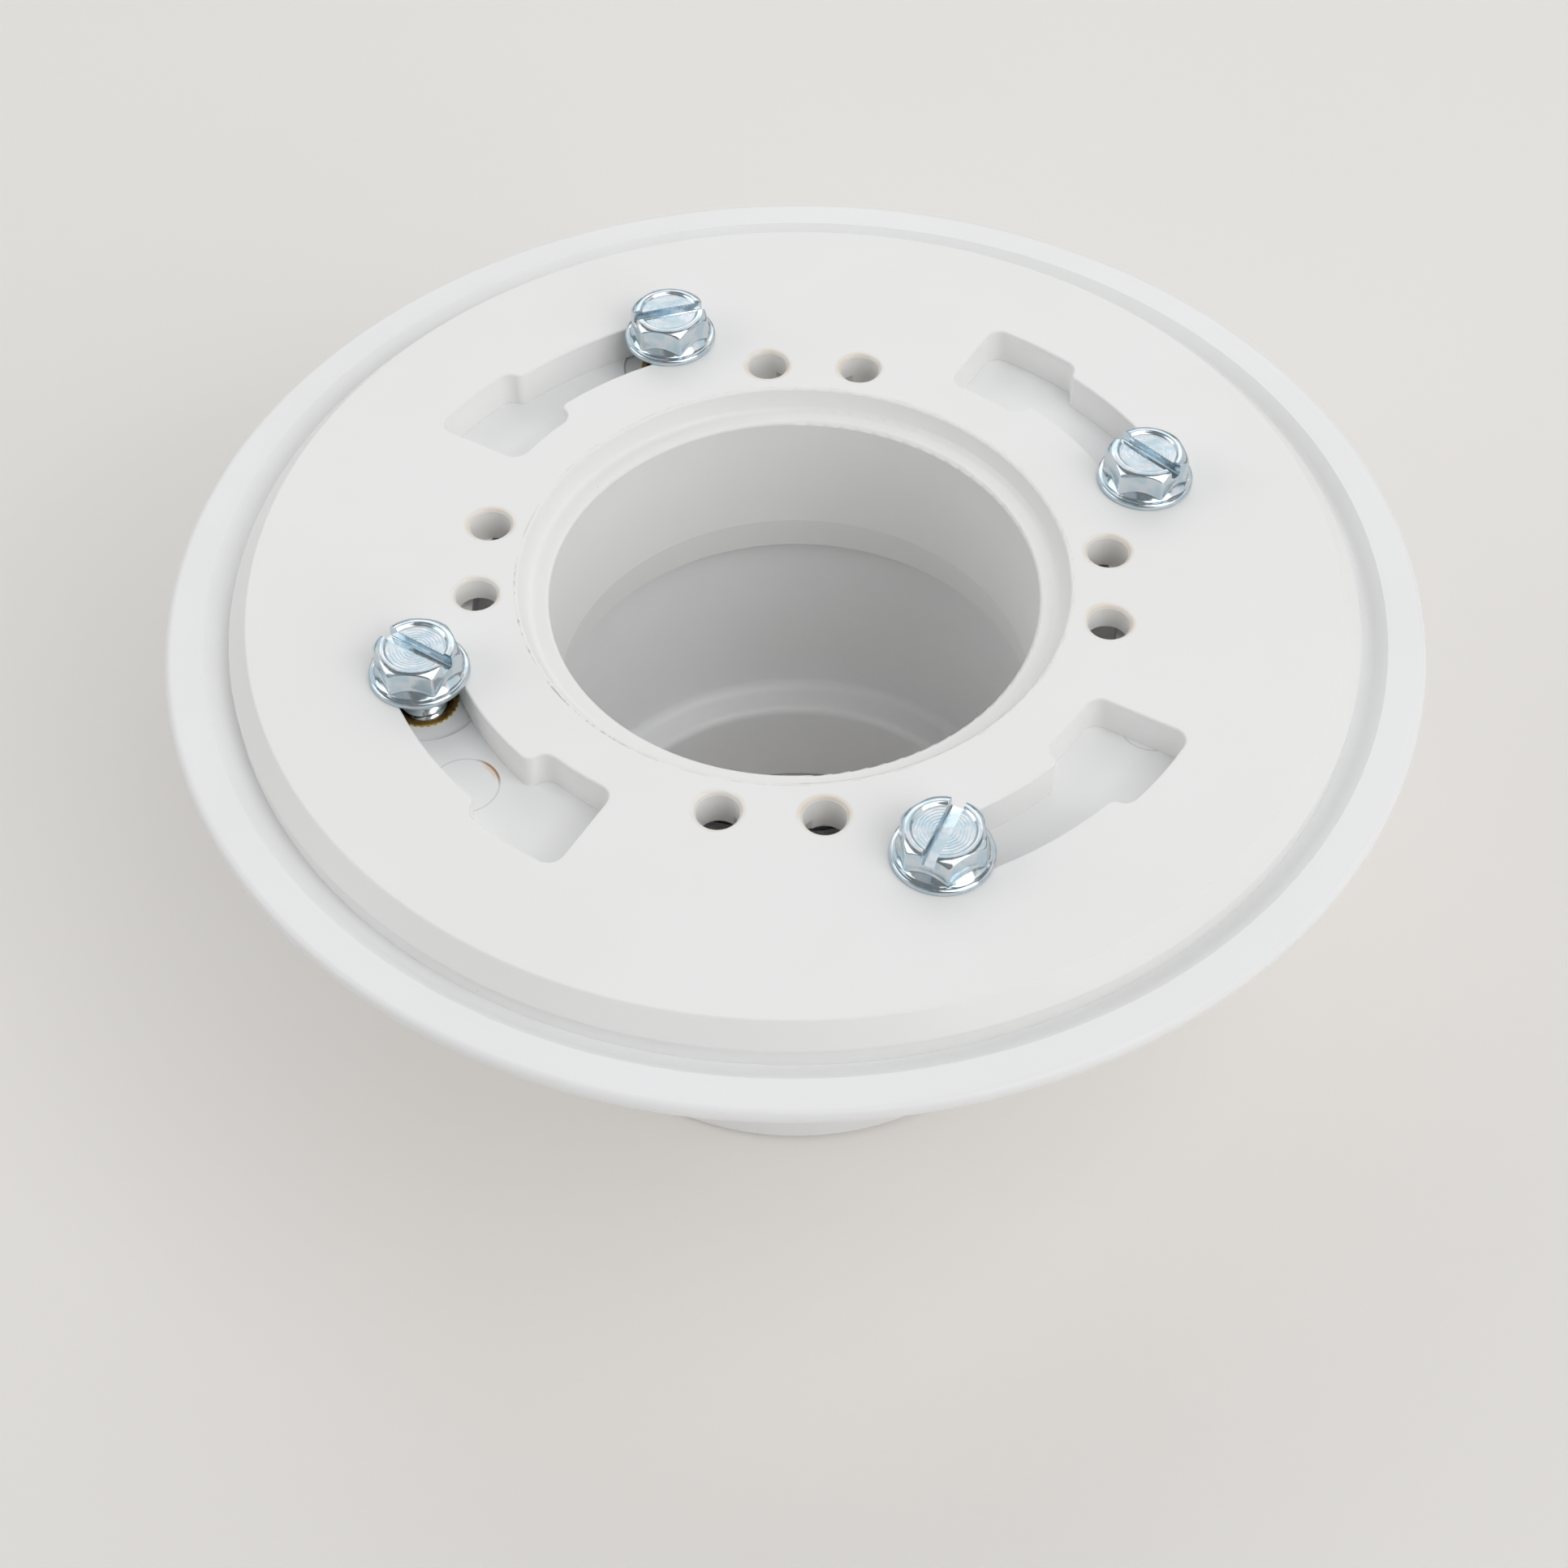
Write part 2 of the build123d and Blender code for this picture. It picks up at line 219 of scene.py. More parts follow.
def feed(tree, socket, value):
    """Links a socket to a socket, or sets its number."""
    if isinstance(value, bpy.types.NodeSocket):
        tree.links.new(value, socket)
    elif isinstance(value, tuple):
        needs_alpha = len(value) == 3 and len(socket.default_value) == 4
        socket.default_value = value + (1.0,) if needs_alpha else value
    else:
        socket.default_value = value


def maths(tree, operation, *values):
    """One math node."""
    node = tree.nodes.new("ShaderNodeMath")
    node.operation = operation
    for socket, value in zip(node.inputs, values):
        feed(tree, socket, value)
    return node.outputs["Value"]


def mapped(tree, value, from_low, from_high, to_low=0.0, to_high=1.0):
    """Smooth clamped step of a value from one range to another."""
    node = tree.nodes.new("ShaderNodeMapRange")
    node.interpolation_type = "SMOOTHSTEP"
    feed(tree, node.inputs["Value"], value)
    node.inputs["From Min"].default_value = from_low
    node.inputs["From Max"].default_value = from_high
    node.inputs["To Min"].default_value = to_low
    node.inputs["To Max"].default_value = to_high
    return node.outputs["Result"]


def mixed(tree, share, first, second):
    """Colour between two colours."""
    node = tree.nodes.new("ShaderNodeMix")
    node.data_type = "RGBA"
    feed(tree, node.inputs[0], share)
    feed(tree, node.inputs[6], first)
    feed(tree, node.inputs[7], second)
    return node.outputs[2]


def noise(tree, vector, size, detail=2.0, roughness=0.5):
    """Cloudy noise whose features are about size metres across."""
    node = tree.nodes.new("ShaderNodeTexNoise")
    feed(tree, node.inputs["Vector"], vector)
    node.inputs["Scale"].default_value = 1.0 / size
    node.inputs["Detail"].default_value = detail
    node.inputs["Roughness"].default_value = roughness
    return node.outputs["Fac"]


def bump(tree, height, depth, strength=1.0, below=None):
    """Bump of a height between 0 and 1 that stands for depth metres."""
    node = tree.nodes.new("ShaderNodeBump")
    node.inputs["Strength"].default_value = strength
    node.inputs["Distance"].default_value = depth
    feed(tree, node.inputs["Height"], height)
    if below is not None:
        feed(tree, node.inputs["Normal"], below)
    return node.outputs["Normal"]


def object_coords(tree):
    """Place on the piece, in metres from its own origin."""
    return tree.nodes.new("ShaderNodeTexCoord").outputs["Object"]


def stretched(tree, vector, x, y, z):
    """Vector with each of its parts multiplied."""
    node = tree.nodes.new("ShaderNodeVectorMath")
    node.operation = "MULTIPLY"
    feed(tree, node.inputs[0], vector)
    node.inputs[1].default_value = (x, y, z)
    return node.outputs["Vector"]


def parts_of(tree, vector):
    """The three numbers of a vector."""
    node = tree.nodes.new("ShaderNodeSeparateXYZ")
    feed(tree, node.inputs["Vector"], vector)
    return node.outputs["X"], node.outputs["Y"], node.outputs["Z"]


def band(tree, value, middle, half_width, soft):
    """One inside a band of a value, falling smoothly to nothing outside it."""
    off = maths(tree, "ABSOLUTE", maths(tree, "SUBTRACT", value, middle))
    return mapped(tree, off, half_width, half_width + soft, 1.0, 0.0)


def specks(tree, place, spacing, size, share):
    """Sparse round specks: one where a speck lies, nothing elsewhere."""
    cells = tree.nodes.new("ShaderNodeTexVoronoi")
    feed(tree, cells.inputs["Vector"], place)
    cells.inputs["Scale"].default_value = 1.0 / spacing
    pick = parts_of(tree, cells.outputs["Color"])[0]
    dot = mapped(tree, cells.outputs["Distance"], 0.3 * size / spacing, size / spacing, 1.0, 0.0)
    return maths(tree, "MULTIPLY", dot, maths(tree, "LESS_THAN", pick, share))


def length_of(tree, first, second):
    """Length of a sloping line from its two parts at right angles."""
    first_square = maths(tree, "MULTIPLY", first, first)
    second_square = maths(tree, "MULTIPLY", second, second)
    return maths(tree, "SQRT", maths(tree, "ADD", first_square, second_square))


def distance_in_plan(tree, x, y, middle):
    """Distance in plan from a point."""
    off_x = maths(tree, "SUBTRACT", x, middle[0])
    off_y = maths(tree, "SUBTRACT", y, middle[1])
    return length_of(tree, off_x, off_y)


def hole_distance(tree, x, y, circle, first_deg, half_spacing_deg):
    """Distance in plan to the nearest hole of those at each station, and to the drain's axis."""
    radius = distance_in_plan(tree, x, y, (0.0, 0.0))
    angle = maths(tree, "ARCTAN2", y, x)
    turn = maths(tree, "ADD", angle, math.radians(STATION_DEG / 2 - first_deg + 4 * STATION_DEG))
    turn = maths(tree, "MODULO", turn, math.radians(STATION_DEG))
    from_first = maths(tree, "ABSOLUTE", maths(tree, "SUBTRACT", turn, math.radians(STATION_DEG / 2)))
    from_hole = maths(tree, "SUBTRACT", from_first, math.radians(half_spacing_deg))
    along = maths(tree, "MULTIPLY", from_hole, radius)
    across = maths(tree, "SUBTRACT", radius, circle)
    return length_of(tree, along, across), radius


def moulded_pvc(name, pale, deep, roughness):
    """Satin moulded PVC with faint clouds, flow marks, grain and a few dust specks."""
    material, tree, shader = new_material(name)
    place = object_coords(tree)
    cloud = mapped(tree, noise(tree, place, 30 * MM, 3.0), 0.35, 0.65)
    colour = mixed(tree, cloud, pale, deep)
    smear = noise(tree, stretched(tree, place, 1.0, 2.2, 1.0), 9 * MM, 4.0, 0.6)
    colour = mixed(tree, mapped(tree, smear, 0.55, 0.75, 0.0, 0.25), colour, deep)
    dust = specks(tree, place, 5.5 * MM, 0.16 * MM, 0.22)
    colour = mixed(tree, maths(tree, "MULTIPLY", dust, 0.55), colour, DUST_COLOUR)
    gloss = mapped(tree, smear, 0.3, 0.7, roughness - 0.03, roughness + 0.07)
    feed(tree, shader.inputs["Roughness"], gloss)
    shader.inputs["Specular IOR Level"].default_value = PVC_SPECULAR
    grain = noise(tree, place, 0.5 * MM, 2.0)
    waviness = noise(tree, place, 12 * MM, 1.0)
    skin = bump(tree, grain, 0.004 * MM, 0.8, bump(tree, waviness, 0.05 * MM, 1.0))
    feed(tree, shader.inputs["Normal"], skin)
    return tree, shader, place, colour, material


def ring_pvc():
    """Ring's plastic, stained faintly round the weep holes, with a painted shade line along the
    recess's top edge.
    """
    plain = moulded_pvc("ring_pvc_look", RING_PALE, RING_DEEP, RING_ROUGHNESS)
    tree, shader, place, colour, material = plain
    x, y, z = parts_of(tree, place)
    hole, radius = hole_distance(tree, x, y, WEEP_CIRCLE_R, WEEP_PAIR_DEG, WEEP_HALF_SPACING_DEG)
    halo = band(tree, hole, HALO_R, 0.15 * MM, 0.35 * MM)
    patchy = mapped(tree, noise(tree, place, 6 * MM, 2.0), 0.4, 0.6, 0.15, 0.6)
    colour = mixed(tree, maths(tree, "MULTIPLY", halo, patchy), colour, HALO_COLOUR)
    lip = band(tree, hole, LIP_R, 0.08 * MM, 0.15 * MM)
    lip = maths(tree, "MULTIPLY", lip, mapped(tree, z, RING_TOP_Z - 0.6 * MM, RING_TOP_Z - 0.2 * MM))
    colour = mixed(tree, maths(tree, "MULTIPLY", lip, 0.35), colour, LIP_COLOUR)
    # painted shade: a broken grey-brown line along the recess's top edge, strongest towards the left
    # front
    edge_shade = band(tree, radius, RECESS_EDGE_SHADE_R, 0.04 * MM, 0.14 * MM)
    broken = mapped(tree, noise(tree, place, 4 * MM, 4.0, 0.75), 0.46, 0.60, 0.05, 0.75)
    from_darkest_shade = distance_in_plan(tree, x, y, DARKEST_SHADE_AT)
    edge_shade = maths(tree, "MULTIPLY", edge_shade, broken)
    edge_shade = maths(tree, "MULTIPLY", edge_shade, mapped(tree, from_darkest_shade, 10 * MM, 30 * MM, 1.0, 0.25))
    colour = mixed(tree, edge_shade, colour, RECESS_EDGE_SHADE_COLOUR)
    feed(tree, shader.inputs["Base Color"], colour)
    return material


def base_pvc():
    """Base's plastic, with the ejector marks on the deck, the stain round one of them and a painted
    shade line round each spot face.
    """
    plain = moulded_pvc("base_pvc_look", BASE_PALE, BASE_DEEP, BASE_ROUGHNESS)
    tree, shader, place, colour, material = plain
    x, y, z = parts_of(tree, place)
    on_deck = band(tree, z, DECK_Z, 0.1 * MM, 0.1 * MM)
    for middle, radius, strength in EJECTOR_MARKS:
        away = distance_in_plan(tree, x, y, middle)
        line = band(tree, away, radius, 0.03 * MM, 0.12 * MM)
        line = maths(tree, "MULTIPLY", maths(tree, "MULTIPLY", line, on_deck), strength)
        colour = mixed(tree, line, colour, MARK_COLOUR)
    middle, radius, strength = EJECTOR_MARKS[0]
    away = distance_in_plan(tree, x, y, middle)
    side = distance_in_plan(tree, x, y, (middle[0] + radius * 0.80, middle[1] + radius * 0.60))
    glow = maths(tree, "MULTIPLY", band(tree, away, radius - 0.35 * MM, 0.1 * MM, 0.4 * MM), on_deck)
    glow = maths(tree, "MULTIPLY", glow, mapped(tree, side, 0.5 * MM, 2.2 * MM, 0.45, 0.0))
    colour = mixed(tree, glow, colour, GLOW_COLOUR)
    stain = maths(tree, "MULTIPLY", band(tree, away, radius, 0.08 * MM, 0.16 * MM), on_deck)
    stain = maths(tree, "MULTIPLY", stain, mapped(tree, side, 1.0 * MM, 3.2 * MM, 0.85, 0.0))
    colour = mixed(tree, stain, colour, STAIN_COLOUR)
    # painted shade: a thin grey line round each bolt's spot face, where its step sits
    near = hole_distance(tree, x, y, BOLT_CIRCLE_R, FIRST_BOLT_DEG, 0.0)[0]
    spot_face_shade = band(tree, near, BOSS_R, 0.05 * MM, 0.15 * MM)
    near_deck = mapped(tree, z, DECK_Z - 0.4 * MM, DECK_Z - 0.3 * MM, 0.0, 0.55)
    colour = mixed(tree, maths(tree, "MULTIPLY", spot_face_shade, near_deck), colour, SPOT_FACE_SHADE_COLOUR)
    feed(tree, shader.inputs["Base Color"], colour)
    return material


def bright_zinc():
    """Bright zinc plate: bluish, with tinted patches, turning marks in the dish and fine pits."""
    material, tree, shader = new_material("zinc_look")
    place = object_coords(tree)
    x, y, z = parts_of(tree, place)
    tint = mapped(tree, noise(tree, place, 2.4 * MM, 2.0), 0.40, 0.60)
    colour = mixed(tree, tint, ZINC_DEEP, ZINC_PALE)
    patches = noise(tree, stretched(tree, place, 1.0, 1.0, 2.0), 1.1 * MM, 3.0)
    colour = mixed(tree, mapped(tree, patches, 0.60, 0.74, 0.0, 0.55), colour, ZINC_BLUSH)
    feed(tree, shader.inputs["Base Color"], colour)
    shader.inputs["Metallic"].default_value = 1.0
    away = distance_in_plan(tree, x, y, (0.0, 0.0))
    inside = mapped(tree, away, HEAD_DISH_R - 0.1 * MM, HEAD_DISH_R + 0.05 * MM, 1.0, 0.0)
    above = mapped(tree, z, HEAD_DISH_Z - 0.3 * MM, HEAD_DISH_Z - 0.1 * MM)
    dish = maths(tree, "MULTIPLY", inside, above)
    mottle = noise(tree, place, 0.6 * MM, 4.0, 0.65)
    smooth = mapped(tree, mottle, 0.3, 0.7, 0.10, 0.24)
    rough = mapped(tree, mottle, 0.3, 0.7, 0.26, 0.46)
    blend = tree.nodes.new("ShaderNodeMix")
    feed(tree, blend.inputs[0], dish)
    feed(tree, blend.inputs[2], smooth)
    feed(tree, blend.inputs[3], rough)
    feed(tree, shader.inputs["Roughness"], blend.outputs[0])
    wander = maths(tree, "MULTIPLY", noise(tree, place, 1.5 * MM, 2.0), 0.5 * MM)
    turns = maths(tree, "MULTIPLY", maths(tree, "ADD", away, wander), 2 * math.pi / TURNING_PITCH)
    marks = maths(tree, "MULTIPLY", maths(tree, "SINE", turns), dish)
    skin = bump(tree, marks, 0.012 * MM, 1.0)
    skin = bump(tree, mottle, 0.006 * MM, 0.6, skin)
    skin = bump(tree, noise(tree, place, 1.8 * MM, 1.0), 0.08 * MM, 0.6, skin)
    feed(tree, shader.inputs["Normal"], skin)
    return material


def dull_brass():
    """Dull brown brass with a painted olive highlight towards the knurl's outer rim."""
    material, tree, shader = new_material("brass_look")
    place = object_coords(tree)
    x, y, z = parts_of(tree, place)
    away = distance_in_plan(tree, x, y, (0.0, 0.0))
    cloud = mapped(tree, noise(tree, place, 0.7 * MM, 3.0), 0.35, 0.65)
    colour = mixed(tree, cloud, BRASS_DEEP, BRASS_PALE)
    # painted highlight: olive colour rising towards the knurl's outer rim
    rim_highlight = mapped(tree, away, INSERT_ROOT_R - 0.1 * MM, INSERT_CREST_R - 0.08 * MM, 0.0, 0.8)
    colour = mixed(tree, rim_highlight, colour, BRASS_RIM_HIGHLIGHT)
    feed(tree, shader.inputs["Base Color"], colour)
    shader.inputs["Metallic"].default_value = 1.0
    smear = noise(tree, place, 0.3 * MM, 4.0, 0.6)
    feed(tree, shader.inputs["Roughness"], mapped(tree, smear, 0.3, 0.7, 0.28, 0.50))
    feed(tree, shader.inputs["Normal"], bump(tree, smear, 0.01 * MM, 0.8))
    return material


# ---------------------------------------------------------------- pieces


def fixed(radius, height):
    """Row of a round piece that is the same at every angle."""
    return lambda turn: (radius, height)


def polar_loops(shape, rows, columns, start_deg):
    """Loop of points for each row, where a row gives (radius, height) at an angle."""
    turns = [math.radians(start_deg + 360.0 * column / columns) for column in range(columns)]
    loops = []
    for row in rows:
        loop = []
        for turn in turns:
            radius, height = row(turn)
            loop.append(shape.verts.new((radius * math.cos(turn), radius * math.sin(turn), height)))
        loops.append(loop)
    return loops


def bridge(shape, upper, lower):
    """Band of faces between two loops of as many points."""
    for column in range(len(upper)):
        beside = (column + 1) % len(upper)
        shape.faces.new((upper[column], lower[column], lower[beside], upper[beside]))


def finished(shape, name):
    """Mesh of a closed shape, with its faces turned outwards."""
    bmesh.ops.recalc_face_normals(shape, faces=shape.faces)
    mesh = bpy.data.meshes.new(name)
    shape.to_mesh(mesh)
    shape.free()
    return mesh


def polar_shell(name, rows, columns, start_deg):
    """Closed mesh of a round piece whose first and last rows are filled in."""
    shape = bmesh.new()
    loops = polar_loops(shape, rows, columns, start_deg)
    for upper, lower in zip(loops, loops[1:]):
        bridge(shape, upper, lower)
    shape.faces.new(loops[0])
    shape.faces.new(reversed(loops[-1]))
    return finished(shape, name)


def polar_tube(name, rows, columns):
    """Closed mesh of a tube: its rows go round the section and meet again."""
    shape = bmesh.new()
    loops = polar_loops(shape, rows, columns, 0.0)
    for index, upper in enumerate(loops):
        bridge(shape, upper, loops[(index + 1) % len(loops)])
    return finished(shape, name)


def placed(name, mesh, at, body, node, material):
    """Object for a finished mesh, standing for a CAD node and riding on its body."""
    mesh.name = name
    mesh.materials.clear()
    mesh.materials.append(material)
    thing = bpy.data.objects.new(name, mesh)
    thing.location = at
    scene.collection.objects.link(thing)
    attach(thing, body)
    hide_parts(node)
    return thing


def smooth_by_angle(mesh, degrees):
    """Smooth shading, with edges sharper than an angle left crisp."""
    for face in mesh.polygons:
        face.use_smooth = True
    mesh.set_sharp_from_angle(angle=math.radians(degrees))


def hex_radius(turn, hex_deg):
    """Radius of the hexagon with softened corners at an angle."""
    total = 0.0
    for side in range(6):
        toward = math.cos(turn - math.radians(hex_deg + 30.0 + 60.0 * side))
        total += max(toward, 0.0) ** HEX_CORNER_POWER
    return HEX_HALF_AF / total ** (1.0 / HEX_CORNER_POWER)


def crown_height(radius):
    """Height of the head's rounded crown at a radius."""
    reach = CROWN_ROUND * CROWN_SLOPE / math.hypot(1.0, CROWN_SLOPE)
    run = radius - HEAD_RIDGE_R
    if run <= reach:
        return HEAD_TOP_Z - CROWN_ROUND + math.sqrt(CROWN_ROUND ** 2 - max(run, 0.0) ** 2)
    turn_down = HEAD_TOP_Z - CROWN_ROUND + math.sqrt(CROWN_ROUND ** 2 - reach ** 2)
    return turn_down - CROWN_SLOPE * (run - reach)


def cone_height(radius):
    """Height of the cone between the washer and the hexagon at a radius."""
    share = (radius - CONE_TOP_R) / (CONE_FOOT_R - CONE_TOP_R)
    return CONE_TOP_Z + share * (CONE_FOOT_Z - CONE_TOP_Z)


def head_rows(hex_deg):
    """Rows of the bolt's head from the middle of the dish to the top of the shank."""
    def on_crown(share):
        def row(turn):
            edge = hex_radius(turn, hex_deg) - 0.07 * MM
            radius = HEAD_RIDGE_R + share * (edge - HEAD_RIDGE_R)
            return (radius, crown_height(radius))
        return row

    def crown_edge(turn):
        radius = hex_radius(turn, hex_deg)
        return (radius - 0.02 * MM, crown_height(radius) - 0.02 * MM)

    def on_flat(drop, share):
        def row(turn):
            radius = hex_radius(turn, hex_deg)
            top = crown_height(radius) - drop
            foot = cone_height(radius) + 0.05 * MM
            return (radius, top + share * (foot - top))
        return row

    def on_cone(share):
        def row(turn):
            start = hex_radius(turn, hex_deg) + 0.05 * MM
            radius = start + share * (CONE_FOOT_R + 0.06 * MM - start)
            return (radius, cone_height(min(radius, CONE_FOOT_R)))
        return row

    rows = [fixed(share * HEAD_DISH_R, HEAD_DISH_Z) for share in (0.02, 0.3, 0.6, 0.9)]
    rows += [
        fixed(HEAD_DISH_R - 0.08 * MM, HEAD_DISH_Z),
        fixed(HEAD_DISH_R + 0.02 * MM, HEAD_DISH_Z + 0.03 * MM),
        fixed(HEAD_DISH_R + 0.18 * MM, HEAD_TOP_Z - 0.16 * MM),
        fixed(HEAD_DISH_R + 0.30 * MM, HEAD_TOP_Z - 0.03 * MM),
    ]
    rows += [on_crown(step / 6) for step in range(7)]
    rows.append(crown_edge)
    rows += [on_flat(0.09 * MM, step / 5) for step in range(6)]
    rows += [on_cone(step / 3) for step in range(4)]
    rows += [fixed(radius, height) for radius, height in WASHER_OUTLINE]
    rows += [
        fixed(THREAD_R + 0.10 * MM, RING_TOP_Z),
        fixed(THREAD_R, THREAD_TOP_Z + 0.05 * MM),
    ]
    return rows


def thread_rows():
    """Rows of the shank with a right-handed helical thread that runs out under the head."""
    def row_at(height):
        def row(turn):
            phase = (height / THREAD_PITCH - turn / (2 * math.pi)) % 1.0
            groove = max(0.0, 1.0 - abs(phase - 0.5) / THREAD_HALF_GROOVE)
            fade = min(1.0, max(0.0, (THREAD_TOP_Z - height) / THREAD_FADE))
            point = max(0.0, 1.0 - (height - BOLT_TIP_Z) / POINT_LENGTH)
            cut = THREAD_DEPTH * min(1.0, groove * THREAD_STEEPNESS) * fade
            return (THREAD_R - cut - POINT_DEPTH * point * (1.0 - groove), height)
        return row

    step = THREAD_PITCH / THREAD_ROWS_PER_TURN
    count = int((THREAD_TOP_Z - BOLT_TIP_Z) / step)
    rows = [row_at(THREAD_TOP_Z - index * step) for index in range(1, count)]
    return rows + [row_at(BOLT_TIP_Z)]


def slot_cutter(slot_deg):
    """Drafted prism that cuts the driver slot."""
    top = HEAD_TOP_Z + SLOT_HEADROOM
    half_top = SLOT_HALF_BOTTOM + SLOT_DRAFT * (top - SLOT_BOTTOM_Z)
    outline = [
        (-half_top, top),
        (-SLOT_HALF_BOTTOM, SLOT_BOTTOM_Z + SLOT_CORNER),
        (-SLOT_HALF_BOTTOM + SLOT_CORNER, SLOT_BOTTOM_Z),
        (SLOT_HALF_BOTTOM - SLOT_CORNER, SLOT_BOTTOM_Z),
        (SLOT_HALF_BOTTOM, SLOT_BOTTOM_Z + SLOT_CORNER),
        (half_top, top),
    ]
    turn = math.radians(slot_deg)
    shape = bmesh.new()
    ends = []
    for reach in (-SLOT_REACH, SLOT_REACH):
        ends.append([
            shape.verts.new((
                reach * math.cos(turn) - aside * math.sin(turn),
                reach * math.sin(turn) + aside * math.cos(turn),
                height,
            ))
            for aside, height in outline
        ])
    bridge(shape, *ends)
    shape.faces.new(ends[0])
    shape.faces.new(reversed(ends[1]))
    cutter = bpy.data.objects.new("slot_cutter", finished(shape, "slot_cutter"))
    scene.collection.objects.link(cutter)
    return cutter


def cut_and_softened(mesh, cutter):
    """Mesh with the cutter taken out and its sharp edges slightly rounded."""
    blank = bpy.data.objects.new("blank", mesh)
    scene.collection.objects.link(blank)
    cut = blank.modifiers.new("slot", "BOOLEAN")
    cut.object = cutter
    cut.operation = "DIFFERENCE"
    cut.solver = "EXACT"
    soften = blank.modifiers.new("soften", "BEVEL")
    soften.limit_method = "ANGLE"
    soften.angle_limit = math.radians(SOFT_EDGE_DEG)
    soften.width = SOFT_EDGE_WIDTH
    soften.segments = SOFT_EDGE_SEGMENTS
    bpy.context.view_layer.update()
    graph = bpy.context.evaluated_depsgraph_get()
    done = bpy.data.meshes.new_from_object(blank.evaluated_get(graph))
    for thing in (blank, cutter):
        old = thing.data
        bpy.data.objects.remove(thing)
        bpy.data.meshes.remove(old)
    return done


def station(index):
    """Place in plan of a bolt's axis."""
    turn = math.radians(FIRST_BOLT_DEG + STATION_DEG * index)
    return (BOLT_CIRCLE_R * math.cos(turn), BOLT_CIRCLE_R * math.sin(turn), 0.0)


def make_bolt(index, side, hex_deg, slot_deg, material):
    """Slotted hex washer head bolt with a helical thread."""
    blank = polar_shell("blank", head_rows(hex_deg) + thread_rows(), BOLT_COLUMNS, hex_deg)
    mesh = cut_and_softened(blank, slot_cutter(slot_deg))
    smooth_by_angle(mesh, BOLT_CRISP_DEG)
    at = station(index)
    placed("hex_bolt_" + side, mesh, at, "screw_" + side, "bolt_" + side, material)


def knurl_radius(turn, depth):
    """Radius of the knurl's rounded teeth at an angle."""
    wave = abs(math.cos(turn * INSERT_TEETH / 2.0))
    return INSERT_ROOT_R + (INSERT_CREST_R - INSERT_ROOT_R) * wave ** INSERT_TOOTH_POWER - depth


def make_insert(index, side, material):
    """Knurled insert, flush with the deck, open from end to end."""
    def knurl(depth, height):
        return lambda turn: (knurl_radius(turn, depth), height)

    rows = [
        fixed(INSERT_BORE_R, INSERT_BOTTOM_Z),
        fixed(INSERT_BORE_R, DECK_Z - 0.4 * MM),
        fixed(INSERT_BORE_R + 0.05 * MM, DECK_Z - 0.3 * MM),
        fixed(INSERT_MOUTH_R, DECK_Z - 0.03 * MM),
        fixed(INSERT_MOUTH_R + 0.06 * MM, DECK_Z),
        fixed(INSERT_ROOT_R - 0.22 * MM, DECK_Z),
        fixed(INSERT_ROOT_R - 0.16 * MM, DECK_Z - 0.04 * MM),
        knurl(0.12 * MM, DECK_Z - 0.04 * MM),
        knurl(0.08 * MM, DECK_Z + 0.01 * MM),
        knurl(0.03 * MM, DECK_Z + 0.01 * MM),
        knurl(0.0, DECK_Z - 0.04 * MM),
        knurl(0.0, INSERT_BOTTOM_Z),
    ]
    mesh = polar_tube("insert", rows, INSERT_TEETH * INSERT_COLUMNS_PER_TOOTH)
    smooth_by_angle(mesh, INSERT_CRISP_DEG)
    at = station(index)
    placed("knurled_insert_" + side, mesh, at, "base", "insert_" + side, material)


def make_ring(material):
    """Clamping ring drawn as it sits when clamped, with its underside down on the deck."""
    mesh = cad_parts["clamping_ring"].data.copy()
    for vertex in mesh.vertices:
        at_bottom = abs(vertex.co.z - RING_BOTTOM_Z) < 0.01 * MM
        if at_bottom and math.hypot(vertex.co.x, vertex.co.y) > SLEEVE_R - 0.1 * MM:
            vertex.co.z = DECK_Z + SEAT_GAP
    placed("seated_ring", mesh, (0.0, 0.0, 0.0), "ring", "clamping_ring", material)


def paint(node, material):
    """Gives a CAD node its material."""
    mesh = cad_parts[node].data
    mesh.materials.clear()
    mesh.materials.append(material)


paint("drain_base", base_pvc())
make_ring(ring_pvc())
zinc = bright_zinc()
brass = dull_brass()
for index, (side, hex_deg, slot_deg) in enumerate(BOLTS):
    make_bolt(index, side, hex_deg, slot_deg, zinc)
    make_insert(index, side, brass)


# ---------------------------------------------------------------- stage


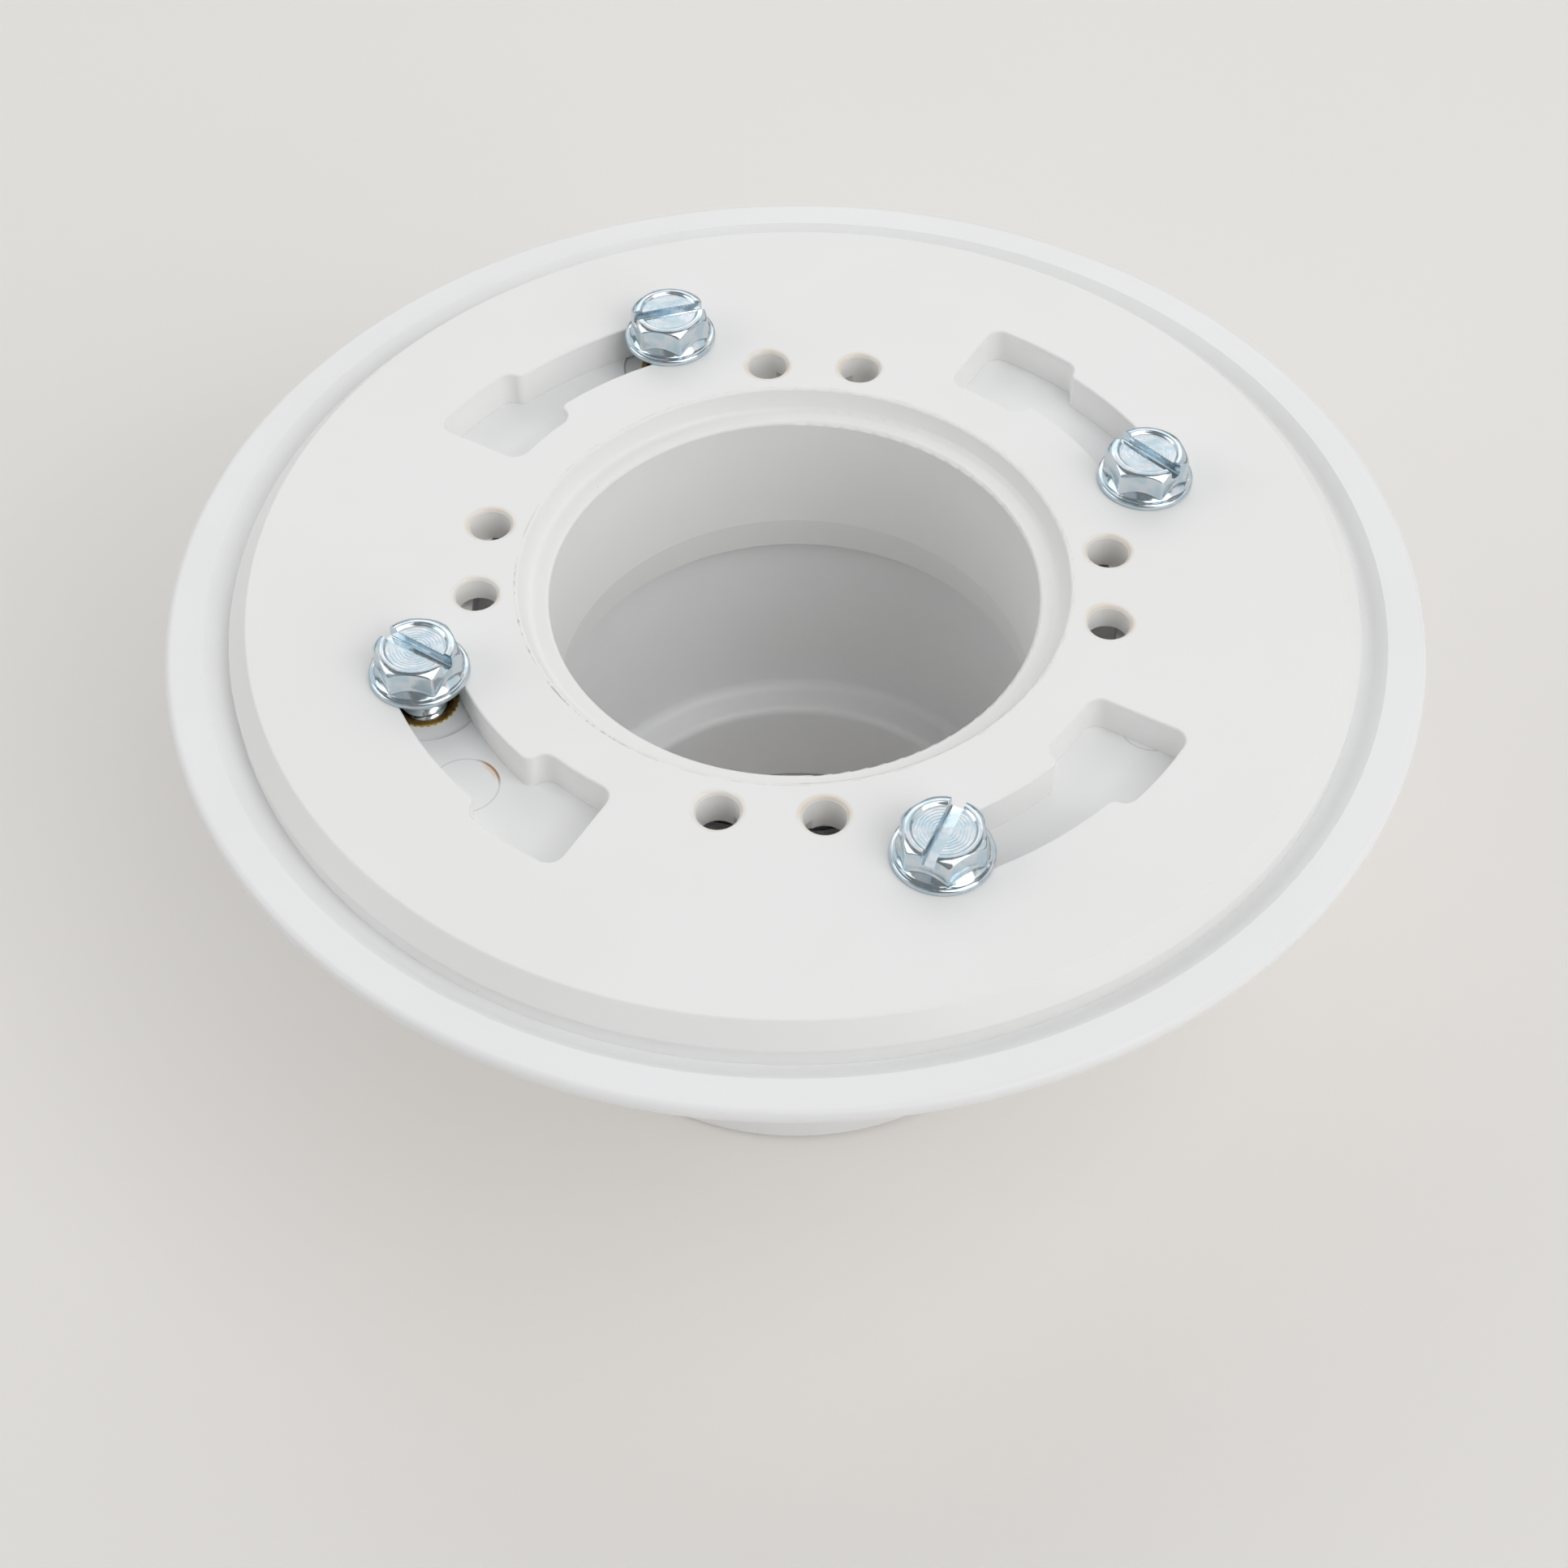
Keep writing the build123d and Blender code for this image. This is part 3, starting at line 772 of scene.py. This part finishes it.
def make_floor():
    """Wide pale table top under the hub."""
    mesh = bpy.data.meshes.new("floor")
    shape = bmesh.new()
    bmesh.ops.create_grid(shape, x_segments=8, y_segments=8, size=FLOOR_HALF_SIDE)
    shape.to_mesh(mesh)
    shape.free()
    floor = bpy.data.objects.new("floor", mesh)
    scene.collection.objects.link(floor)
    material, tree, shader = new_material("floor_look")
    place = object_coords(tree)
    cloud = noise(tree, place, FLOOR_CLOUD, 3.0)
    feed(tree, shader.inputs["Base Color"], mixed(tree, cloud, FLOOR_PALE, FLOOR_DEEP))
    shader.inputs["Roughness"].default_value = FLOOR_ROUGHNESS
    mesh.materials.append(material)


def aim(thing, target):
    """Turns a light towards a point."""
    direction = Vector(target) - thing.location
    thing.rotation_euler = direction.to_track_quat("-Z", "Y").to_euler()


def make_lights():
    """Dim even surroundings and a ring of soft square lights aimed at the origin."""
    world = bpy.data.worlds.new("studio")
    world.use_nodes = True
    background = world.node_tree.nodes["Background"]
    background.inputs["Color"].default_value = WORLD_COLOUR + (1.0,)
    background.inputs["Strength"].default_value = WORLD_STRENGTH
    scene.world = world
    for name, azimuth, elevation, distance, side, power in LIGHTS:
        lamp = bpy.data.lights.new(name, "AREA")
        lamp.shape = "SQUARE"
        lamp.size = side
        lamp.energy = power
        lamp.color = LIGHT_COLOUR
        thing = bpy.data.objects.new(name, lamp)
        level = distance * math.cos(math.radians(elevation))
        turn = math.radians(azimuth)
        rise = distance * math.sin(math.radians(elevation))
        thing.location = (level * math.cos(turn), level * math.sin(turn), rise)
        scene.collection.objects.link(thing)
        aim(thing, (0.0, 0.0, 0.0))


def make_camera():
    """Camera turned directly from its elevation and roll, because its roll is part of the framing."""
    data = bpy.data.cameras.new("camera")
    data.lens = CAMERA_LENS
    data.sensor_width = CAMERA_SENSOR
    data.clip_start = CAMERA_NEAR
    data.clip_end = CAMERA_FAR
    camera = bpy.data.objects.new("camera", data)
    scene.collection.objects.link(camera)
    tilt = math.radians(CAMERA_ELEVATION)
    roll = math.radians(CAMERA_ROLL)
    level = Vector((1.0, 0.0, 0.0))
    rise = Vector((0.0, math.sin(tilt), math.cos(tilt)))
    back = Vector((0.0, -math.cos(tilt), math.sin(tilt)))
    right = level * math.cos(roll) + rise * math.sin(roll)
    up = rise * math.cos(roll) - level * math.sin(roll)
    turn = Matrix((right, up, back)).transposed().to_4x4()
    camera.matrix_world = Matrix.Translation(CAMERA_AT) @ turn
    scene.camera = camera


make_floor()
make_lights()
make_camera()
scene.view_settings.view_transform = "Standard"
